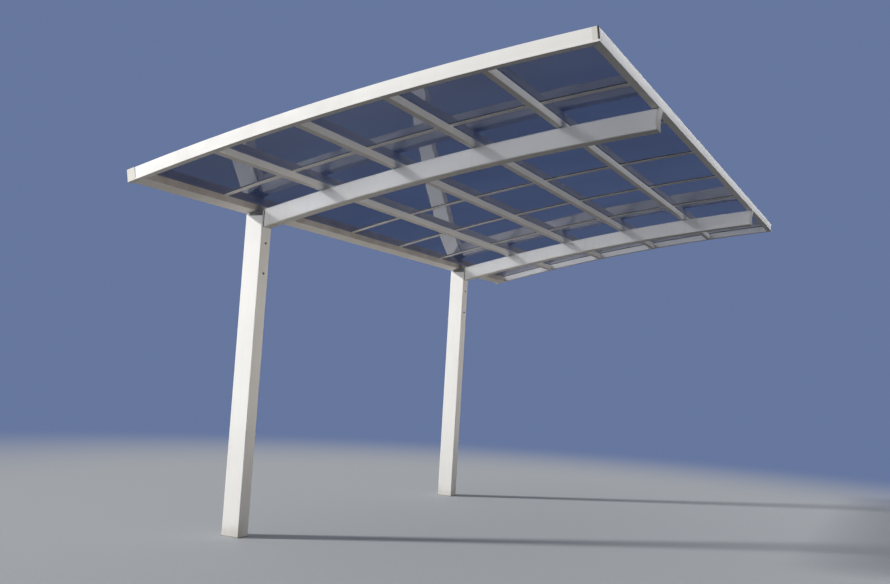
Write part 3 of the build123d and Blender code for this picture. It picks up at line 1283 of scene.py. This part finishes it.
@dataclass
class CornerJoints:
    """The moulded covers of the front corners, where the gable frames meet the front beam, and the painted
    shade of their joints.

    Each joint's shade is painted: a dark upright strip on the corner and a dark seam along the mitre
    under it stand for the shade in the recess of the joint. The seam's length and foot, and the roundings,
    are shares of the size that they belong to.
    """

    sizes: Carport
    finishes: Finishes
    face_low: float = 0.0104
    face_high: float = 0.0792
    width_low: float = 0.0445
    width_high: float = 0.0426
    strip: float = 0.009
    strip_rounding: float = 0.12
    proud: float = 0.0004
    line: float = 0.0016
    line_depth: float = 0.5
    seam_length: float = 0.97
    seam_foot: Triple = (0.98, 0.6, 1)
    cover_length: float = 0.036
    cover_return: float = 0.012
    cover_thickness: float = 0.0014
    cover_low: float = 0.0106
    cover_high: float = 0.0790
    cover_width: float = 0.0431
    cover_lean: float = 0.0019
    cover_rounding: float = 0.5
    cover_margin: float = 0.0005

    def corner(self, side: Side, width: float, height: float) -> Vector:
        """A point on the outer arris of a front corner.

        Args:
            side: which end of the bay.
            width: how wide the frame is there.
            height: how far the point is out of the arc.

        Returns:
            The point in the row frame.
        """
        s = self.sizes
        y = s.inner_y(side) + side.value * width
        return s.arc.point(s.front_inner, y, height) + s.arc.tangent(s.front_inner) * width

    def cover(self, side: Side) -> bpy.types.Object:
        """The thin moulded cover that wraps a front corner above the lip.

        Args:
            side: which end of the bay.

        Returns:
            The cover, in place.
        """
        s, out = self.sizes, side.value
        thickness, width = self.cover_thickness, self.cover_width
        height, middle = self.cover_high - self.cover_low, (self.cover_high + self.cover_low) / 2
        centre = (width + thickness - self.cover_length / 2, out * (width + thickness / 2), middle)
        cover = Bench.block((self.cover_length, thickness, height), centre)
        with Bench.editing(cover):
            bpy.ops.mesh.select_all(action="SELECT")
            bpy.ops.mesh.bisect(plane_co=(width, 0, 0), plane_no=(1, 0, 0))
            Bench.pick_faces(lambda at, normal: normal.y * out < -FACING and at.x > width)
            wrap = (0, -out * self.cover_return, 0)
            bpy.ops.mesh.extrude_region_move(TRANSFORM_OT_translate={"value": wrap})
            Bench.pick_faces(lambda at, normal: normal.z > FACING)
            bpy.ops.transform.translate(value=(-self.cover_lean, -out * self.cover_lean, 0))
        Bench.round_edges(
            cover,
            thickness * self.cover_rounding,
            2,
            lambda at, way: abs(way.z) > FACING and at.x > width and out * at.y > width - self.cover_margin,
        )
        placed = Bench.copy(cover, s.arc.placement(s.front_inner, s.inner_y(side)))
        Bench.discard(cover)
        return placed

    def upright(self, side: Side) -> bpy.types.Object:
        """The dark strip on the arris of a front corner: painted shade of the recess at the joint.

        Args:
            side: which end of the bay.

        Returns:
            The strip, in place.
        """
        s = self.sizes
        low = self.corner(side, self.width_low, self.face_low)
        high = self.corner(side, self.width_high, self.face_high)
        inward = self.strip / 2 - self.proud
        middle = (low + high) / 2 - s.arc.tangent(s.front_inner) * inward
        middle -= Vector((0, side.value * inward, 0))
        up = (high - low).normalized()
        out = Vector((0, 1, 0)).cross(up).normalized()
        axes = Matrix((out, up.cross(out), up)).transposed().to_4x4()
        strip = Bench.block((self.strip, self.strip, (high - low).length))
        Bench.round_edges(strip, self.strip * self.strip_rounding, 2, lambda at, way: abs(way.z) > FACING)
        placed = Bench.copy(strip, Matrix.Translation(middle) @ axes)
        Bench.discard(strip)
        return placed

    def seam(self, side: Side) -> bpy.types.Object:
        """The dark line along the mitre under a front corner: painted shade of the gap at the joint.

        Args:
            side: which end of the bay.

        Returns:
            The seam, in place.
        """
        s = self.sizes
        reach, half = s.frame_width * math.sqrt(2), s.frame_width / 2
        seam = Bench.block((reach * self.seam_length, self.line, self.line * self.line_depth))
        with Bench.editing(seam):
            Bench.pick_faces(lambda centre, normal: normal.z < -FACING)
            bpy.ops.transform.resize(value=self.seam_foot)
        turn = Matrix.Rotation(side.value * math.radians(45), 4, "Z")
        corner = s.arc.placement(s.front_inner, s.inner_y(side))
        placed = Bench.copy(seam, corner @ Matrix.Translation((half, side.value * half, 0)) @ turn)
        Bench.discard(seam)
        return placed

    def build(self) -> None:
        """Make and mount both covers and the painted shade of both joints."""
        for side in Side:
            Bench.done(self.cover(side), f"{side.word}_corner_cover", self.finishes.plastic, "moulded_cap")
            # Both dark pieces paint the shade in the recess of the joint.
            joint = Bench.join([self.upright(side), self.seam(side)])
            Bench.done(joint, f"{side.word}_corner_joint", self.finishes.recess_shade)


# -------------------------------------------------------------------- studio


@dataclass(frozen=True)
class Lamp:
    """A soft area lamp. Its size is its width and height, its power is in watts and its spread in degrees."""

    name: str
    place: Triple
    aim: Triple
    size: tuple[float, float]
    power: float
    spread: float = 180.0
    colour: Triple = (1.0, 1.0, 1.0)

    def hang(self) -> None:
        """Put the lamp up, where only what it lights shows it."""
        lamp = bpy.data.lights.new(self.name, "AREA")
        lamp.shape, lamp.size, lamp.size_y, lamp.energy = "RECTANGLE", *self.size, self.power
        lamp.spread, lamp.color = math.radians(self.spread), self.colour
        holder = bpy.data.objects.new(self.name, lamp)
        holder.location = self.place
        holder.rotation_euler = (Vector(self.place) - Vector(self.aim)).to_track_quat("Z", "Y").to_euler()
        holder.visible_camera = holder.visible_glossy = holder.visible_transmission = False
        bpy.context.scene.collection.objects.link(holder)


@dataclass
class Studio:
    """Floor, backdrop, lamps and camera."""

    backdrop: Colour = (0.135, 0.185, 0.34, 1)
    sky_light: Colour = (0.96, 0.98, 1.0, 1)
    sky_strength: float = 0.30
    floor_pale: Colour = (0.52, 0.54, 0.57, 1)
    floor_bounce: Colour = (0.045, 0.042, 0.038, 1)
    floor_middle: Triple = (1.4, 1.7, 0.0)
    floor_radius: float = 90.0
    floor_sides: int = 96
    fade_start: float = 4.5
    fade_end: float = 10.0
    mirrored_nearer: float = 4.0
    sun_way: Triple = (-0.70, -0.587, 0.407)
    sun_strength: float = 3.05
    sun_spread: float = 0.10
    sun_colour: Triple = (1.0, 0.985, 0.95)
    lamps: tuple[Lamp, ...] = (
        Lamp("front_fill", (13.0, 1.0, 1.6), (0.0, 1.6, 2.0), (9.0, 2.6), 95.0),
        Lamp("post_fill", (9.0, 1.6, 0.45), (0.0, 1.6, 1.6), (7.0, 0.6), 15.0, 26.0, (1.0, 0.90, 0.76)),
        Lamp("beam_fill", (5.5, 1.7, 2.93), (2.9, 1.7, 3.0), (8.0, 0.2), 4.2, 10.0),
        Lamp("under_fill", (-1.2, 1.9, 0.5), (0.1, 1.9, 2.2), (6.0, 0.8), 12.5, 110.0, (1.0, 0.95, 0.88)),
        Lamp("side_fill", (-6.0, -9.0, 1.0), (-0.3, 0.5, 2.2), (4.0, 1.6), 25.0, 40.0),
    )
    camera_place: Triple = (4.3429, -5.4129, 1.2311)
    camera_yaw: float = 0.4755
    camera_pitch: float = 0.0862
    camera_roll: float = 0.0602
    focal_pixels: float = 942.7313
    picture_width: float = 890.0
    sensor: float = 36.0
    camera_reach: float = 300.0

    def floor(self) -> None:
        """A round pale floor that fades into the backdrop."""
        Bench.clear()
        bpy.ops.mesh.primitive_circle_add(
            vertices=self.floor_sides, radius=self.floor_radius, fill_type="NGON"
        )
        floor = bpy.context.object
        floor.name = "studio_floor"
        material, g = Graph.of_material("studio_floor")
        shows = g.shows()
        away = g.add("ShaderNodeVectorMath", {0: g.place(), 1: self.floor_middle}, operation="DISTANCE")
        seen = g.add("ShaderNodeLightPath").outputs["Is Camera Ray"]
        nearer = g.sum("SUBTRACT", self.mirrored_nearer, g.sum("MULTIPLY", seen, self.mirrored_nearer))
        fade = g.ramp(g.sum("ADD", away.outputs["Value"], nearer), self.fade_start, self.fade_end)
        grain = g.ramp(g.noise(60.0, 5.0), 0.3, 0.7, 0.94, 1.0)
        pale = g.tint(grain, (0, 0, 0, 1), self.floor_pale)
        colour = g.tint(shows, self.floor_bounce, pale)
        ground = g.add("ShaderNodeBsdfPrincipled", {"Base Color": colour, "Roughness": 0.85}).outputs[0]
        glow = g.add("ShaderNodeEmission", {"Color": self.backdrop, "Strength": 1.0}).outputs[0]
        share = g.sum("MULTIPLY", fade, shows)
        g.surface(g.add("ShaderNodeMixShader", {0: share, 1: ground, 2: glow}).outputs[0])
        floor.data.materials.append(material)

    def world(self) -> None:
        """Even light from all round, and a plain backdrop where it shows."""
        world = bpy.data.worlds.new("studio")
        world.use_nodes = True
        g = Graph(world.node_tree)
        even = {"Color": self.sky_light, "Strength": self.sky_strength}
        light = g.add("ShaderNodeBackground", even).outputs[0]
        shown = g.add("ShaderNodeBackground", {"Color": self.backdrop, "Strength": 1.0}).outputs[0]
        mixed = g.add("ShaderNodeMixShader", {0: g.shows(), 1: light, 2: shown}).outputs[0]
        g.add("ShaderNodeOutputWorld", {"Surface": mixed})
        bpy.context.scene.world = world

    def sun(self) -> None:
        """The key light, soft-edged."""
        lamp = bpy.data.lights.new("key", "SUN")
        lamp.energy, lamp.angle, lamp.color = self.sun_strength, self.sun_spread, self.sun_colour
        holder = bpy.data.objects.new("key", lamp)
        holder.rotation_euler = Vector(self.sun_way).to_track_quat("Z", "Y").to_euler()
        bpy.context.scene.collection.objects.link(holder)

    def camera(self) -> None:
        """The camera at the photograph's place, with no shift."""
        yaw, pitch, roll = self.camera_yaw, self.camera_pitch, self.camera_roll
        ahead = Vector((-math.sin(yaw) * math.cos(pitch), math.cos(yaw) * math.cos(pitch), math.sin(pitch)))
        level = Vector((math.cos(yaw), math.sin(yaw), 0))
        above = level.cross(ahead)
        right = math.cos(roll) * level + math.sin(roll) * above
        up = -math.sin(roll) * level + math.cos(roll) * above
        camera = bpy.data.objects.new("camera", bpy.data.cameras.new("camera"))
        camera.data.sensor_fit, camera.data.sensor_width = "HORIZONTAL", self.sensor
        camera.data.lens = self.focal_pixels / self.picture_width * self.sensor
        camera.data.clip_end = self.camera_reach
        turn = Matrix((right, up, -ahead)).transposed().to_4x4()
        camera.matrix_world = Matrix.Translation(self.camera_place) @ turn
        bpy.context.scene.collection.objects.link(camera)
        bpy.context.scene.camera = camera

    def build(self) -> None:
        """Set up the studio."""
        self.floor()
        self.world()
        self.sun()
        for lamp in self.lamps:
            lamp.hang()
        self.camera()
        bpy.context.scene.view_settings.view_transform = "Standard"
        log.info("set up the studio")


def main() -> None:
    """Build the carport's looks in order."""
    logging.basicConfig(level=logging.INFO, format="%(message)s")
    sizes, finishes = Carport(), Finishes()
    Members(finishes).build()
    PostFittings(sizes, finishes).build()
    GlazingSeals(sizes, finishes).build()
    CapScrews(sizes, finishes).build()
    PurlinCleats(sizes, finishes).build()
    GutterStrainers(sizes, finishes).build()
    CornerJoints(sizes, finishes).build()
    Studio().build()


if __name__ == "__main__":
    main()
